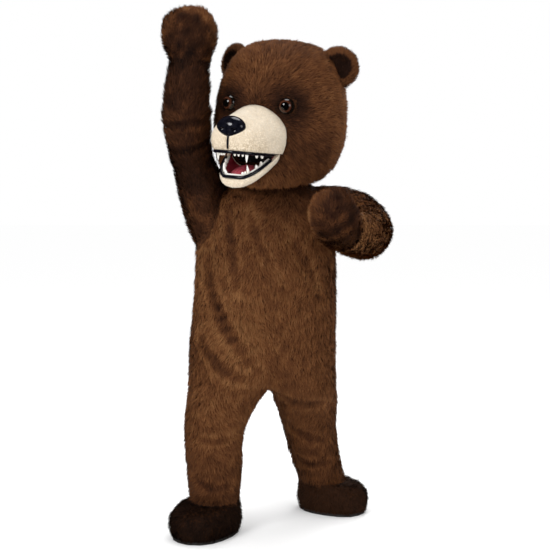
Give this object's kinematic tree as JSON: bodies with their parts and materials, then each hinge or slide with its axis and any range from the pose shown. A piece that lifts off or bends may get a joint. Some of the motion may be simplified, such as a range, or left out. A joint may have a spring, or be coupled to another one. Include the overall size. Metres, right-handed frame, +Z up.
{
  "type": "bear mascot costume",
  "caption": "Hollow full-body bear mascot costume in brown plush fur, one arm raised, with a lift-off head that has an open cream muzzle",
  "frame": {"origin": "between the wearer's shoulders, just under the neck opening, where the costume is carried", "axes": "+Z up, the costume faces -Y, the wearer's left is +X"},
  "size_m": [0.895, 0.7827, 2.0594],
  "materials": {
    "brown_fur": "long-pile brown plush fur",
    "dark_fur": "long-pile dark brown plush fur",
    "cream_plush": "short cream plush, close to the foam",
    "black_gloss": "glossy black",
    "mouth_red": "glossy dark red",
    "tooth_ivory": "glossy ivory",
    "eye_glass": "clear gloss over brown and black",
    "screen_mesh": "black see-through mesh",
    "sole_rubber": "matt black rubber",
    "zip_cloth": "woven dark brown tape",
    "zip_metal": "antique brass"
  },
  "bodies": {
    "suit": {"suit_front_right": "brown_fur", "suit_front_left": "brown_fur", "suit_back_right": "brown_fur", "suit_back_left": "brown_fur", "sleeve_right": "brown_fur", "sleeve_left": "brown_fur", "mitt_right_palm": "dark_fur", "mitt_right_back": "brown_fur", "mitt_left_palm": "dark_fur", "mitt_left_back": "brown_fur", "foot_right": "dark_fur", "foot_left": "dark_fur", "sole_right": "sole_rubber", "sole_left": "sole_rubber", "zip_tape": "zip_cloth", "zip_slider": "zip_metal"},
    "head": {"head_front": "brown_fur", "head_back": "brown_fur", "ear_right": "brown_fur", "ear_left": "brown_fur", "eye_right": "eye_glass", "eye_left": "eye_glass", "vision_screen": "screen_mesh", "muzzle": "cream_plush", "lower_jaw": "cream_plush", "palate": "mouth_red", "mouth_floor": "mouth_red", "nose": "black_gloss", "tongue": "mouth_red", "upper_lip": "black_gloss", "lower_lip": "black_gloss", "upper_teeth": "tooth_ivory", "lower_teeth": "tooth_ivory"},
    "zip_pull_tab": {"zip_pull": "zip_metal"}
  },
  "joints": [
    {"name": "head_lift", "type": "slide", "parent": "suit", "child": "head", "axis": [0.1045, 0, 0.9945], "range_m": [0, 0.4]},
    {"name": "zip_pull_swing", "type": "hinge", "parent": "suit", "child": "zip_pull_tab", "pos_m": [-0.00213, 0.14735, -0.03418], "axis": [1, 0, 0], "range_deg": [0, 110]}
  ]
}
